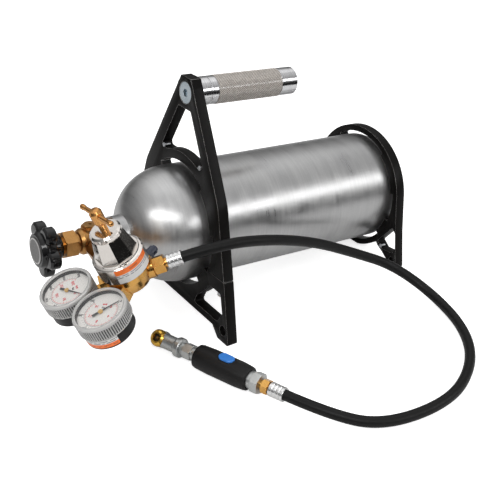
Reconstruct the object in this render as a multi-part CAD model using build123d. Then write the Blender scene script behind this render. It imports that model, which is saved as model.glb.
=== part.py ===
from build123d import *
from math import *
import os

os.makedirs("parts", exist_ok=True)

# ---------------------------------------------------------------- driving dimensions, mm
TILT = 5.2               # lean of the cylinder, valve end up, degrees
AXIS_H = 101.8           # cylinder axis above the floor at the front bracket's front face
FLOOR_CLEAR = 0.0        # the bracket feet are cut off on this level

CYL_R = 66.7             # shell outside radius, 5.25 in diameter
WALL = 5.0               # shell wall
DOME_X = -8.0            # centre of the half-round shoulder, along the axis
NECK_X = -84.0           # face of the neck
NECK_R = 21.0
NECK_BORE = 14.1
BASE_X = 284.0           # closed end
HEEL_R = 14.0
DISH = 12.0              # how far the closed end is dished in

PLATE_T = 12.7           # both brackets, 1/2 in plate
REAR_X = 266.0           # front face of the rear bracket
BORE_CLEAR = 0.05        # bracket pads to the shell
FRONT_RELIEF = 73.0      # ring bore between the pads, front
REAR_RELIEF = 71.0       # the same, rear
HANDLE_Z = 152.2         # handle axis above the cylinder axis
APEX_R = 17.5
FRONT_RING = 84.0        # ring outside radius seen in the windows
REAR_RING = 78.5
FRONT_FOOT_Z = -104.0    # profile bottoms, cut back on the floor
REAR_FOOT_Z = -80.0
SPLIT_Z = -30.2          # parting line of the front clamp
SPLIT_GAP = 1.0
CLAMP_Y = 88.7           # clamp screws
DOWEL_Y = 73.5

GRIP_R = 15.6            # carrying handle
GRIP_END = 140.3
GRIP_KNURL = (33.8, 118.4)
GRIP_GROOVE = 24.7

OUTLET_X = -108.5        # valve outlet along the axis
REG_Y = 87.0             # valve axis to regulator axis
REG_LEAN = 26.5          # regulator leans back from the cylinder's normal, degrees
OUTLET_DIR = -27.0       # hose port direction in the regulator's plane, degrees
RELIEF_DIR = 16.0
GAUGES = {"left": (-58.6, 20.0), "right": (-49.0, -37.6)}
GAUGE_R = 28.2           # clear bezel
CASE_R = 26.0
STEM_Z = -5.0            # gauge stems below the inlet axis

SKIRT_R = 26.6           # bonnet skirt with the label
SKIRT = (13.0, 31.0)
CONE = (33.0, 58.0)
CONE_AF = (41.0, 30.5)
TOP_Z = 64.0
SCREW_R = 4.0            # adjusting screw
TBAR_Z = 82.5
TBAR_LEN = 56.0
TBAR_DIR = -83.5

HOSE_R = 5.8
HOSE_BORE = 3.2
HOSE = [
    (-73.519, -105.886, 125.098), (-30.02, -129.675, 142.058), (34, -127.5, 128), (104, -119, 99),
    (166.5, -117.5, 64), (224, -125, 32), (249, -174, 6.2), (228, -244, 6.2), (188, -294, 6.2),
    (124.5, -325.5, 6.2), (42.5, -316.5, 6.2), (0.644, -277.86, 14.0), (-21.424, -217.802, 14.0),
]
END_DIR = (-0.3449, 0.9386, 0)   # line of the coupler and chuck on the floor
COUPLER_R = 13.95
COUPLER = (44.0, 112.0)          # from the hose ferrule's mouth
CHUCK_PITCH = 40.0               # ball foot leans up from level, degrees

WHEEL_R = 31.0
LOBES = 5
LOBE_R = 10.0
WHEEL_Z = (71.0, 83.2)
LOBE_START = 27.0

RUN = 0.04               # radial running clearance

# ---------------------------------------------------------------- frames
tilt = radians(TILT)
AX = Vector(cos(tilt), 0, -sin(tilt))
UP = Vector(sin(tilt), 0, cos(tilt))
Y = Vector(0, 1, 0)
TANK = Plane(origin=(0, 0, AXIS_H), x_dir=AX, z_dir=UP)


def on_tank(x, y, z):
    return TANK.from_local_coords(Vector(x, y, z))


FRONT = Plane(origin=on_tank(0, 0, 0), x_dir=Y, z_dir=AX)
REAR = Plane(origin=on_tank(REAR_X, 0, 0), x_dir=Y, z_dir=AX)
VALVE = Plane(origin=on_tank(NECK_X, 0, 0), x_dir=-Y, z_dir=-AX)
lean = radians(REG_LEAN - TILT)
REG_P = Vector(cos(lean), 0, sin(lean))
REG_N = Vector(-sin(lean), 0, cos(lean))
REG = Plane(origin=on_tank(OUTLET_X, -REG_Y, 0), x_dir=REG_P, z_dir=REG_N)


def in_reg(deg, r, k=0.0):
    """Frame whose Z runs outward from the regulator axis in direction deg."""
    d = REG_P * cos(radians(deg)) + Y * sin(radians(deg))
    return Plane(origin=REG.origin + d * r + REG_N * k, x_dir=REG_N, z_dir=d)


def gauge_frame(side):
    px, py = GAUGES[side]
    at = REG.origin + REG_P * px + Y * py
    return Plane(origin=at, x_dir=REG.origin - at, z_dir=REG_N)


OUT = in_reg(OUTLET_DIR, 0)
u = Vector(*END_DIR).normalized()
HOSE_END = Vector(*HOSE[-1])
FERRULE_IN = 17.0
LINE = Plane(origin=HOSE_END - u * FERRULE_IN, x_dir=(0, 0, 1), z_dir=u)


# ---------------------------------------------------------------- helpers
def spun(*pts):
    """Solid of revolution about Z through (r, z) corners."""
    return revolve(make_face(Polyline(*[(r, 0, z) for r, z in pts], close=True)), Axis.Z)


def tube(r, r_in, z0, z1):
    body = Pos(0, 0, (z0 + z1) / 2) * Cylinder(r, z1 - z0)
    return body - Pos(0, 0, (z0 + z1) / 2) * Cylinder(r_in, z1 - z0) if r_in else body


def rod(r, z0, z1):
    return tube(r, 0, z0, z1)


def hexagon(af, z0, z1, chamfer_r=None):
    """Hex bar with its corners turned off at both ends."""
    bar = extrude(Pos(0, 0, z0) * RegularPolygon(af / 2, 6, major_radius=False), z1 - z0)
    c = af * 0.577
    d = min(0.9, (z1 - z0) / 4)
    return bar & spun((0, z0), (c - d * 1.4, z0), (c, z0 + d), (c, z1 - d), (c - d * 1.4, z1), (0, z1))


def put(frame, shape):
    return frame.location * shape


def save(name, *shapes):
    shape = shapes[0] if len(shapes) == 1 else Compound(children=[s for s in shapes])
    export_step(shape, f"parts/{name}.step")


def pair(maker):
    return [maker(1), maker(-1)]


# ---------------------------------------------------------------- cylinder and brackets
def cylinder_shell():
    """Hollow aluminium shell with a half-round shoulder, neck and dished base."""
    r, ri = CYL_R, CYL_R - WALL
    c = DOME_X

    def on_dome(rad, rr):
        return (c - sqrt(rad ** 2 - rr ** 2), rr)

    def arc(a, b, rad):
        m = radians((a + b) / 2)
        p = [(c + rad * cos(radians(v)), rad * sin(radians(v))) for v in (a, b)]
        return ThreePointArc(p[0], (c + rad * cos(m), rad * sin(m)), p[1])

    out0 = on_dome(r, NECK_R)
    in0 = on_dome(ri, NECK_BORE)
    a_out = degrees(atan2(out0[1], out0[0] - c))
    a_in = degrees(atan2(in0[1], in0[0] - c))
    q = sqrt(0.5)
    heel = (BASE_X - HEEL_R, r - HEEL_R)
    hi = HEEL_R - WALL
    dish = (heel[1] ** 2 + DISH ** 2) / (2 * DISH)

    def cap(rad, a):
        """Point on the dished end's sphere, a degrees off the axis."""
        return (BASE_X - DISH + dish - rad * cos(radians(a)), rad * sin(radians(a)))

    a_rim = degrees(asin(heel[1] / dish))
    a_deep = a_rim * 0.86
    thick = dish + 8.0
    e = [
        Line((NECK_X, NECK_BORE), (NECK_X, NECK_R)), Line((NECK_X, NECK_R), out0),
        arc(a_out, 90, r), Line((c, r), (heel[0], r)),
        ThreePointArc((heel[0], r), (heel[0] + HEEL_R * q, heel[1] + HEEL_R * q), (BASE_X, heel[1])),
        ThreePointArc((BASE_X, heel[1]), cap(dish, a_rim / 2), cap(dish, 0)),
        Line(cap(dish, 0), cap(thick, 0)),
        ThreePointArc(cap(thick, 0), cap(thick, a_deep / 2), cap(thick, a_deep)),
        Line(cap(thick, a_deep), (heel[0] + hi * q, heel[1] + hi * q)),
        Line((heel[0] + hi * q, heel[1] + hi * q), (heel[0], ri)),
        Line((heel[0], ri), (c, ri)), arc(90, a_in, ri), Line(in0, (NECK_X, NECK_BORE)),
    ]
    return put(TANK, revolve(make_face(Wire(e)), Axis.X))


def mirrored(pts):
    """Closed outline from its right-hand half, top to bottom."""
    return Polyline(*pts, *[(-y, z) for y, z in reversed(pts)], close=True)


def sector(r, a0, a1):
    """Wedge between two angles from straight up, right-hand side."""
    steps = [radians(a0 + (a1 - a0) * i / 6) for i in range(7)]
    return make_face(Polyline((0, 0), *[(r * sin(a), r * cos(a)) for a in steps], close=True))


def ring_bore(relief, wedges):
    """Relieved bore that keeps its pads inside the given wedges."""
    keep = Sketch()
    for a0, a1 in wedges:
        w = sector(relief * 1.2, a0, a1)
        keep += w + mirror(w, Plane.YZ)
    pads = keep - Circle(CYL_R + BORE_CLEAR)
    return Circle(relief) - pads


def fillet_near(face, r, *spots):
    """Round the outline's corners that lie near the given points, both sides."""
    for y, z in spots:
        for s in (1, -1):
            v = face.vertices().sort_by_distance((s * y, z, 0))[0]
            face = fillet(v, r)
    return face


def plate(frame, face):
    """Bracket plate from an outline, cut off level with the floor."""
    solid = put(frame, extrude(face, PLATE_T))
    return solid - Pos(0, 0, FLOOR_CLEAR - 50) * Box(900, 400, 100)


def on_face(y, z, r, depth=PLATE_T * 3):
    return Pos(y, z, 0) * Cylinder(r, depth)


FRONT_HALF = [(69, 65.5), (78, 49), (101.2, -35), (118, -FRONT_FOOT_Z * -1), (98, FRONT_FOOT_Z), (84, -91),
              (60, -90.8)]


def front_outline():
    pts = [(9.9, 169.4)] + FRONT_HALF
    face = make_face(mirrored(pts)) + Pos(0, HANDLE_Z) * Circle(APEX_R)
    face = fillet_near(face, 40, (78, 49))
    return fillet_near(face, 4.5, (118, FRONT_FOOT_Z), (98, FRONT_FOOT_Z))


def upper_window():
    top, bot, w = 135.0, 78.0, 12.8
    k = 0.563
    win = make_face(Polyline((w, top), (w + k * (top - bot), bot), (-w - k * (top - bot), bot), (-w, top),
                             close=True)) - Circle(FRONT_RING)
    win = win.faces().sort_by(Axis.Y)[-1]
    win = fillet(win.vertices().group_by(Axis.Y)[-1], 3)
    return fillet(win.vertices().group_by(Axis.Y)[0], 4)


def lower_window(s):
    pts = [(60, -46.5), (95, -46.5), (101.5, -69), (93, -82.5), (44, -82.5)]
    win = make_face(Polyline(*[(s * y, z) for y, z in pts], close=True)) - Circle(FRONT_RING + 2)
    win = win.faces().sort_by(Axis.X)[-1 if s > 0 else 0]
    return fillet(win.vertices(), 2.5)


def ear_slot(upper):
    """Half-plane above or below the parting line."""
    z = SPLIT_Z + (SPLIT_GAP / 2 if upper else -SPLIT_GAP / 2)
    return Pos(0, z + (200 if upper else -200)) * Rectangle(400, 400)


def front_bracket(upper):
    face = front_outline() - ring_bore(FRONT_RELIEF, [(37, 80), (118, 137)])
    face -= upper_window()
    face -= lower_window(1)
    face -= lower_window(-1)
    face = face & ear_slot(upper)
    body = extrude(face, PLATE_T)
    for s in (1, -1):
        clamp = Pos(s * CLAMP_Y, 0, PLATE_T / 2) * Rot(X=90)
        dowel = Pos(s * DOWEL_Y, SPLIT_Z, PLATE_T / 2) * Rot(X=90)
        if upper:
            body -= clamp * rod(3.0, 0, 60) & Pos(0, -60, 0) * Box(400, 96, 60)
        else:
            body -= clamp * rod(3.3, 20, 60)
            body -= Pos(s * 105, -88.2, 0) * Cylinder(6.0, 60)
        body -= dowel * rod(2.0, -8, 8)
    if upper:
        body -= Pos(0, HANDLE_Z, 0) * rod(6.5, -1, 20)
        body -= Pos(0, HANDLE_Z, 0) * spun((0, -1), (12.2, -1), (12.2, 0.3), (6.2, 6.3), (0, 6.3))
        for s in (1, -1):
            body -= Pos(s * 38, 80, 0) * rod(1.5, -1, 8)
    body = put(FRONT, body)
    return body - Pos(0, 0, FLOOR_CLEAR - 50) * Box(900, 400, 100)


def clamp_screw(s):
    """Socket screw that runs up from the leg window into the upper half."""
    shank = rod(2.98, -46.6, -15)
    head = rod(4.7, -52.5, -46.55) - extrude(Pos(0, 0, -52.5) * RegularPolygon(2.5, 6, major_radius=False), 3)
    return put(FRONT, Pos(s * CLAMP_Y, 0, PLATE_T / 2) * Rot(X=-90) * (shank + head))


def dowel(s):
    return put(FRONT, Pos(s * DOWEL_Y, SPLIT_Z, PLATE_T / 2) * Rot(X=-90) * rod(2.0, -8, 8))


def face_screw(frame, y, z):
    """Small button-head screw on a bracket's front face."""
    head = spun((0, 0), (2.7, 0), (2.5, -1.0), (1.6, -1.6), (0, -1.6))
    head -= extrude(Pos(0, 0, -1.6) * RegularPolygon(0.9, 6, major_radius=False), 0.9)
    return put(frame, Pos(y, z, 0) * (head + rod(1.5, 0, 7)))


def rear_bracket():
    r = REAR_RING
    leg = [(r * sin(radians(78)), r * cos(radians(78))), (84.8, -30), (96.2, REAR_FOOT_Z), (80, REAR_FOOT_Z),
           (76.4, -71.5), (68, -66), (57.5, -60.5), (40, -40)]
    face = Circle(r)
    for s in (1, -1):
        face += make_face(Polyline(*[(s * y, z) for y, z in leg], (0, 0), close=True))
    face = fillet_near(face, 4.5, (96.2, REAR_FOOT_Z))
    face -= ring_bore(REAR_RELIEF, [(35, 78), (108, 130)])
    face -= Pos(0, -125.5) * Rectangle(100, 100)
    for s in (1, -1):
        pts = [(79, -27.5), (85, -33), (89.2, -52), (86, -60), (67, -62), (57, -55)]
        win = make_face(Polyline(*[(s * y, z) for y, z in pts], close=True)) - Circle(77.2)
        win = win.faces().sort_by(SortBy.AREA)[-1]
        face -= fillet(win.vertices(), 1.8)
    body = extrude(face, PLATE_T)
    for s in (1, -1):
        body -= Pos(s * 86.5, -69.5, 0) * Cylinder(4.5, 60)
        body -= Pos(s * 64, -59, 0) * rod(1.5, -1, 8)
    body = put(REAR, body)
    return body - Pos(0, 0, FLOOR_CLEAR - 50) * Box(900, 400, 100)


def handle():
    """Aluminium grip with plain collars and a middle for knurling."""
    x0, x1 = PLATE_T, GRIP_END
    k0, k1 = GRIP_KNURL
    r, g = GRIP_R, 0.7
    pts = [(0, x0), (r - 0.8, x0), (r, x0 + 0.8)]
    c = GRIP_GROOVE
    pts += [(r, c - 1), (r - g, c - 0.6), (r - g, c + 0.6), (r, c + 1)]
    pts += [(r, k0 - 0.5), (r - g, k0), (r, k0 + 0.5), (r, k1 - 0.5), (r - g, k1), (r, k1 + 0.5)]
    pts += [(r, x1 - 1), (r - 1, x1), (0, x1)]
    grip = spun(*pts) - rod(5.98, x0 - 1, 62)
    return put(FRONT, Pos(0, HANDLE_Z, 0) * grip)


def handle_screw():
    """Flat-head socket screw that holds the handle."""
    body = spun((0, 0.4), (11.6, 0.4), (11.6, 0.9), (5.95, 6.4), (5.95, 60), (0, 60))
    body -= extrude(Pos(0, 0, 0.4) * RegularPolygon(4.0, 6, major_radius=False), 5)
    return put(FRONT, Pos(0, HANDLE_Z, 0) * body)


# ---------------------------------------------------------------- cylinder valve
OUT_Z = NECK_X - OUTLET_X      # outlet height in the valve's own frame


def side(z):
    """Frame turned so that local Z runs out of the valve's outlet side."""
    return Pos(0, 0, z) * Rot(Y=90)


def burst(z):
    return Pos(0, 0, z) * Rot(X=-90)


BURST_Z = OUT_Z + 1.5
BOSS_TOP = 16.0


def valve_body():
    """Forged brass body with an outlet boss and a burst-disc boss."""
    b = spun((0, -15), (13, -15), (NECK_BORE - 0.05, -13), (NECK_BORE - 0.05, -2.2), (13.2, -2.2),
             (13.2, 0), (19, 0), (19, 3), (14, 8), (13.5, 12), (14.5, 15), (14.5, 36.5), (12.5, 40), (10.2, 41),
             (10.2, 47), (0, 47))
    b += hexagon(34, 0, 9)
    b += side(OUT_Z) * (rod(13.6, 0, 18) + rod(10.4, 0, 27))
    b += burst(BURST_Z) * rod(10, 0, BOSS_TOP)
    b -= rod(2.5, -16, 12)
    b -= rod(9.0, 12, 30)
    b -= rod(8.0, 30, 48)
    b -= side(OUT_Z) * rod(4.0, 0, 28)
    b -= burst(BURST_Z) * (rod(2.5, 0, 23) + rod(5.5, 11, 23))
    b += tube(5, 2.5, 8, 13)
    return put(VALVE, b)


def neck_o_ring():
    return put(VALVE, tube(14.05, 13.25, -2.15, -0.05))


def burst_disc_plug():
    b = hexagon(14.5, BOSS_TOP, BOSS_TOP + 3) + rod(5.45, 11.5, BOSS_TOP) - rod(1.8, 13, 23)
    return put(VALVE, burst(BURST_Z) * b)


def valve_bonnet():
    """Hex bonnet nut over the body's neck."""
    b = Rot(Z=30) * hexagon(27.2, 44.5, 58.5)
    b -= rod(10.23, 40, 47.25)
    b -= rod(7.0, 50, 60)
    b -= rod(SCREW_R + RUN, 40, 60)
    return put(VALVE, b)


def packing_gland():
    b = tube(6.9, SCREW_R + RUN, 51, 58.5) + tube(9.6, SCREW_R + RUN, 58.5, 61)
    return put(VALVE, b)


def valve_spindle():
    """Non-rising spindle: collar, packing length, square drive and a driving tang."""
    b = rod(SCREW_R, 43, 84) + rod(7.8, 43.2, 47.0)
    b += Pos(0, 0, 39.5) * Box(3.0, 11, 7.6)
    return put(VALVE, b)


def valve_plug():
    """Seat plug, slotted for the tang; lifts off its seat as the wheel turns."""
    b = spun((0, 13.05), (5.6, 13.05), (6, 13.6), (6, 30), (7.94, 30), (7.94, 40.5), (0, 40.5))
    b -= Pos(0, 0, 37.5) * Box(3.3, 20, 9)
    return put(VALVE, b)


def lobed(r_pitch, r_lobe, r_mid, grow=0.0):
    face = Sketch() + Circle(r_mid + grow)
    for i in range(LOBES):
        a = radians(LOBE_START + i * 360 / LOBES)
        # angle is measured from up towards the outlet side
        face += Pos(r_pitch * sin(a), r_pitch * cos(a)) * Circle(r_lobe + grow)
    return face


def handwheel():
    """Black lobed wheel with a front boss and a rear hub."""
    z0, z1 = WHEEL_Z
    face = lobed(WHEEL_R - LOBE_R, LOBE_R, 21.5)
    b = extrude(Pos(0, 0, z0) * face, z1 - z0)
    b = chamfer(b.faces().sort_by(Axis.Z)[-1].outer_wire().edges(), 2.2)
    b = chamfer(b.faces().sort_by(Axis.Z)[0].outer_wire().edges(), 1.6)
    b += spun((0, z1 - 1), (20.5, z1 - 1), (18.5, z1 + 3.5), (17.5, z1 + 4.3), (0, z1 + 4.3))
    b -= rod(14.8, z1 + 3.2, z1 + 6)
    b += spun((0, 61.5), (13, 61.5), (14.5, 64), (16, z0 + 1), (0, z0 + 1))
    b -= rod(10.4, 61, 63.5)
    b -= rod(SCREW_R + 0.02, 60, 90)
    b -= rod(7.5, 84.05, 90)
    return put(VALVE, b)


def handwheel_cap():
    z = WHEEL_Z[1] + 3.2
    b = spun((0, z), (14.6, z), (14.6, z + 1.5), (13.8, z + 2.3), (0, z + 2.3))
    return put(VALVE, b)


# ---------------------------------------------------------------- regulator
def outlet_washer():
    return put(VALVE, side(OUT_Z) * tube(9.6, 4.0, 27.02, 28.5))


def inlet_nut():
    """Union nut over the valve outlet."""
    b = hexagon(28.5, 20.5, 39) - rod(10.45, 20, 32.5) - rod(6.6, 20, 40)
    return put(VALVE, side(OUT_Z) * b)


def inlet_nipple():
    end = REG_Y - 25
    b = spun((0, 28.5), (9.8, 28.5), (9.8, 30.5), (6.5, 32.4), (6.5, end + 4), (0, end + 4)) - rod(3.0, 28, end + 5)
    return put(VALVE, side(OUT_Z) * b)


def gauge_dir(side_name):
    px, py = GAUGES[side_name]
    return degrees(atan2(py, px))


def regulator_body():
    """Forged brass body: round hub, blocks for the gauges and bosses for the other ports."""
    b = spun((0, -11), (15, -11), (20.5, -8), (22.5, -3), (24.5, 5), (24.5, 13), (23, 13), (23, 20), (0, 20))
    for name in GAUGES:
        blk = Pos(-0.8, 0, 15) * Box(20, 14.5, 30)
        b += local_reg(in_reg(gauge_dir(name), 0, 0), blk)
    for deg, r, rad in ((90, 31, 10.5), (OUTLET_DIR, 27, 10.9), (RELIEF_DIR, 27.5, 7.5)):
        b += local_reg(in_reg(deg, 0, 0), rod(rad, 0, r))
    b -= rod(18, 10, 21)
    b -= rod(9.0, -14, -3)
    b -= rod(1.6, -4, 11)
    b -= local_reg(in_reg(90, 0, 0), rod(6.52, 21, 32) + rod(3, 5, 32))
    b -= local_reg(in_reg(OUTLET_DIR, 0, 0), rod(6.52, 16, 28) + Pos(6, 0, 0) * rod(2.4, 9, 17))
    b -= local_reg(in_reg(RELIEF_DIR, 0, 0), rod(4.52, 18, 29))
    for name in GAUGES:
        b -= local_reg(in_reg(gauge_dir(name), 0, STEM_Z), rod(4.52, 20, 30))
    return put(REG, b)


def local_reg(frame, shape):
    """Shape given in a world frame, brought into the regulator's own frame."""
    return REG.location.inverse() * (frame.location * shape)


def seat_cap():
    b = hexagon(20.5, -14.5, -11.05) + rod(8.95, -11.05, -7) - rod(6.0, -11, -6)
    return put(REG, b)


def poppet():
    """Regulator valve: disc under the orifice with a pin up to the diaphragm."""
    b = spun((0, -8.2), (5.0, -8.2), (5.0, -4.5), (2.2, -3.05), (1.3, -3.05), (1.3, 19.3), (0, 19.3))
    return put(REG, b)


def coil(r, wire, z0, z1, turns):
    path = Pos(0, 0, z0 + wire) * Helix((z1 - z0 - 2 * wire) / turns, z1 - z0 - 2 * wire, r)
    start = path @ 0
    section = Plane(origin=start, z_dir=path % 0) * Circle(wire)
    return sweep(section, path=path)


def poppet_spring():
    return put(REG, coil(4.6, 0.4, -11, -8.2, 1.5))


def diaphragm():
    b = spun((0, 20.02), (22.9, 20.02), (22.9, 21.0), (16, 21.0), (14, 21.8), (12, 21.0), (0, 21.0))
    return put(REG, b)


def diaphragm_plate():
    b = spun((0, 21.9), (13.0, 21.9), (13.0, 24.0), (6.5, 24.0), (6.5, 26.5), (0, 26.5))
    return put(REG, b)


def adjusting_spring():
    return put(REG, coil(9.2, 1.4, 24.05, 48.95, 5))


def regulator_bonnet():
    """Plated bonnet: round skirt for the label, stepped shoulder and an eight-sided neck."""
    s0, s1 = SKIRT
    c0, c1 = CONE
    b = spun((0, s0), (SKIRT_R, s0), (SKIRT_R, s1), (SKIRT_R - 1.2, s1 + 1.0), (23.4, s1 + 1.6),
             (23.0, s1 + 3.0), (0, s1 + 3.0))
    neck = loft([Pos(0, 0, s1 + 2.0) * Rot(Z=22.5) * RegularPolygon(CONE_AF[0] / 2, 8, major_radius=False),
                 Pos(0, 0, c1) * Rot(Z=22.5) * RegularPolygon(CONE_AF[1] / 2, 8, major_radius=False)])
    b += neck
    r = CONE_AF[1] / 2 + 1.0
    b += spun((0, c1 - 1), (r - 1, c1 - 1), (r, c1 + 0.5), (r, TOP_Z - 2), (r - 2, TOP_Z), (8, TOP_Z), (0, TOP_Z))
    b -= rod(23.03, s0 - 1, 21.02)
    b -= spun((0, 21), (18.5, 21), (18.5, s1), (12.5, 54.5), (0, 54.5))
    b -= rod(SCREW_R + RUN, 50, 70)
    return put(REG, b)


def spring_button():
    b = spun((0, 49.0), (11.0, 49.0), (11.0, 51.0), (5, 52.6), (0, 52.6))
    return put(REG, b)


def adjusting_screw():
    b = spun((0, 52.65), (SCREW_R - 1, 52.65), (SCREW_R, 53.6), (SCREW_R, 71), (5.2, 72.2), (6.4, 75), (6.4, 86),
             (4.6, 88.6), (0, 89.2))
    d = radians(TBAR_DIR)
    bar = Plane(origin=(0, 0, TBAR_Z), x_dir=(0, 0, 1), z_dir=(cos(d), sin(d), 0))
    b -= put(bar, Cylinder(2.72, 20))
    return put(REG, b)


def t_bar():
    """Cross bar with swollen ends."""
    h = TBAR_LEN / 2
    d = radians(TBAR_DIR)
    b = spun((0, -h), (1.9, -h + 0.5), (2.9, -h + 2.2), (2.9, -h + 5), (2.4, -h + 9), (2.7, -8), (2.7, 8),
             (2.4, h - 9), (2.9, h - 5), (2.9, h - 2.2), (1.9, h - 0.5), (0, h))
    bar = Plane(origin=(0, 0, TBAR_Z), x_dir=(0, 0, 1), z_dir=(cos(d), sin(d), 0))
    return put(REG, put(bar, b))


def relief_valve():
    """Small pop-off valve with a knurled-looking cap and vent slots."""
    b = rod(4.5, 20, 28) + hexagon(12.7, 27.55, 32) + rod(5.2, 32, 39) + spun((0, 39), (4.4, 39), (3.6, 41.5),
                                                                                 (0, 42.2))
    b -= rod(1.5, 19, 36)
    b -= Pos(0, 0, 35.5) * Box(1.6, 14, 3)
    return put(in_reg(RELIEF_DIR, 0), b)


# ---------------------------------------------------------------- gauges
def gauge_case():
    r = CASE_R
    b = spun((0, -13.5), (r - 2.5, -13.5), (r, -11), (r, 12), (r - 1.6, 12), (r - 1.6, -11), (r - 3.2, -12),
             (0, -12))
    return b - Pos(CASE_R, 0, STEM_Z) * Box(8, 11.1, 11.1)


def gauge_stem():
    """Square brass socket through the case wall, with a round end for the regulator block."""
    length = hypot(*GAUGES["left"])
    b = Pos((19 + 31) / 2, 0, STEM_Z) * Box(12, 11, 11)
    b += Pos((31 + length - 22) / 2, 0, STEM_Z) * Rot(Y=90) * Cylinder(4.5, length - 22 - 31)
    return b - Pos(30, 0, STEM_Z) * Rot(Y=90) * Cylinder(1.5, 30)


def gauge_movement():
    """Curved pressure tube and the pinion boss behind the dial."""
    path = CenterArc((0, 0, STEM_Z), 17.4, 0, 265)
    bent = sweep(Plane(origin=path @ 0, x_dir=(0, 0, 1), z_dir=path % 0) * Ellipse(2.6, 1.2), path=path)
    hub = rod(3.2, -11.95, 8) - rod(1.0 + RUN, 2, 9)
    arm = Pos(10.5, 0, STEM_Z) * Box(17, 5, 4)
    return bent + hub + arm


def gauge_dial():
    b = tube(CASE_R - 0.2, 1.6, 12.02, 12.8)
    return b


def gauge_pointer(deg):
    """Pointer over the dial with its staff going down into the movement."""
    tip, tail = 20.5, 9.0
    face = make_face(Polyline((-tail, 1.2), (-tail + 1.5, 1.3), (0, 1.0), (tip, 0.25), (tip, -0.25), (0, -1.0),
                              (-tail + 1.5, -1.3), (-tail, -1.2), close=True))
    b = extrude(Pos(0, 0, 14.2) * face, 0.5) + rod(2.3, 13.6, 15.2) + rod(1.0, 2.3, 14)
    return Rot(Z=deg) * b


def gauge_lens():
    """Clear screw-on cover with a grip rim."""
    r = GAUGE_R
    return spun((CASE_R + 0.05, 2), (r - 0.6, 2), (r, 2.8), (r, 17.2), (r - 1.8, 19), (r - 3.4, 18.6),
                (0, 18.6), (0, 17), (CASE_R + 0.05, 17))


ZERO = -47.0             # pointer rest, measured from the stem


# ---------------------------------------------------------------- hose line
def outlet_fitting():
    """Brass hex with a hose barb."""
    b = rod(6.5, 18, 27.05) + hexagon(17, 27.05, 39) + rod(5.2, 39, 41.5)
    b += spun((0, 41.5), (3.18, 41.5), (3.18, 58), (2.6, 60), (0, 60)) - rod(1.8, 17, 61)
    return put(OUT, b - rod(1.8, 17, 61))


def ferrule(frame, z0, z1):
    r = HOSE_R + 0.03
    pts = [(r, z0), (r + 1.5, z0), (r + 1.9, z0 + 0.6)]
    n = 3
    for i in range(n):
        z = z0 + 3.0 + i * 4.2
        pts += [(r + 1.9, z), (r + 1.3, z + 0.5), (r + 1.3, z + 1.6), (r + 1.9, z + 2.1)]
    pts += [(r + 1.9, z1 - 0.6), (r + 1.5, z1), (r, z1)]
    return put(frame, spun(*pts))


def hose_radii():
    out = []
    for a, b, c in zip(HOSE, HOSE[1:], HOSE[2:]):
        v, w = Vector(*b) - Vector(*a), Vector(*c) - Vector(*b)
        out.append(0.45 * min(v.length, w.length) / tan(radians(v.get_angle(w)) / 2))
    return out


def hose():
    radii = hose_radii()
    print("hose radii", [round(r, 1) for r in radii])
    path = FilletPolyline(*HOSE, radius=radii)
    ring = Plane(origin=path @ 0, z_dir=path % 0) * (Circle(HOSE_R) - Circle(HOSE_BORE))
    body = sweep(ring, path=path)
    want = pi * (HOSE_R ** 2 - HOSE_BORE ** 2) * path.length
    print("hose length %.1f volume %.0f want %.0f" % (path.length, body.volume, want))
    return body


def hose_end_fitting():
    b = spun((0, 1), (2.6, 1), (3.18, 3), (3.18, 18.5), (5.2, 18.5), (5.2, 19.6), (0, 19.6))
    b += hexagon(14.3, 19.6, 27.5) + rod(5.0, 27.5, 30)
    return put(LINE, b - rod(1.8, 0, 31))


def adapter():
    """Plated hex adapter into the coupler."""
    b = hexagon(20.5, 30.05, 39) + rod(9.5, 39, 43.9) + rod(7.8, 43.9, 50)
    return put(LINE, b - rod(2.5, 29, 51))


def coupler_body():
    """Moulded push-button coupler body with waisted ends."""
    z0, z1 = COUPLER
    r = COUPLER_R
    b = spun((0, z0), (11.4, z0), (12.7, z0 + 1), (13.1, z0 + 3), (r, z0 + 14), (r, z1 - 18), (13.2, z1 - 3),
             (12.7, z1 - 1), (11.4, z1), (0, z1))
    b -= rod(7.82, z0 - 1, 50.05)
    b -= rod(4.0, 50, 80)
    b -= rod(5.6 + RUN, 79, z1 + 1)
    well = Pos(0, 0, BUTTON_Z) * Rot(Y=90) * extrude(SlotCenterToCenter(7.5, 11.6), 20)
    b -= Pos(r - 4.2, 0, 0) * well
    return put(LINE, b)


BUTTON_Z = 74.0


def coupler_button():
    """Oval thumb button, let into the top of the body."""
    face = SlotCenterToCenter(7.5, 11.0)
    top = COUPLER_R + 1.2
    b = Pos(COUPLER_R - 1.2, 0, BUTTON_Z) * Rot(Y=90) * extrude(face, top - COUPLER_R + 1.2)
    b = chamfer(b.faces().sort_by(Axis.X)[-1].outer_wire().edges(), 0.7)
    return put(LINE, b)


def plug_nipple():
    """Steel plug held in the coupler, with its hex outside."""
    b = rod(5.6, 84, 114) - rod(6, 94, 97) + rod(4.6, 94, 97)
    b += rod(7.2, 114, 118) + hexagon(16.0, 118, 128.5) + rod(5.0, 128.5, 136)
    return put(LINE, b - rod(2.2, 83, 137))


BALL = 165.0             # ball foot along the line
HEAD_DROP = 3.0          # foot seat below the line, along the foot's axis


def chuck_frame():
    """Frame at the ball foot; Z points out of its mouth, level with CHUCK_PITCH."""
    ref = u.cross(Vector(0, 0, 1)) * -1
    d = ref * cos(radians(CHUCK_PITCH)) + Vector(0, 0, 1) * sin(radians(CHUCK_PITCH))
    return Plane(origin=LINE.origin + u * BALL - d * HEAD_DROP, x_dir=u, z_dir=d)


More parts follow.
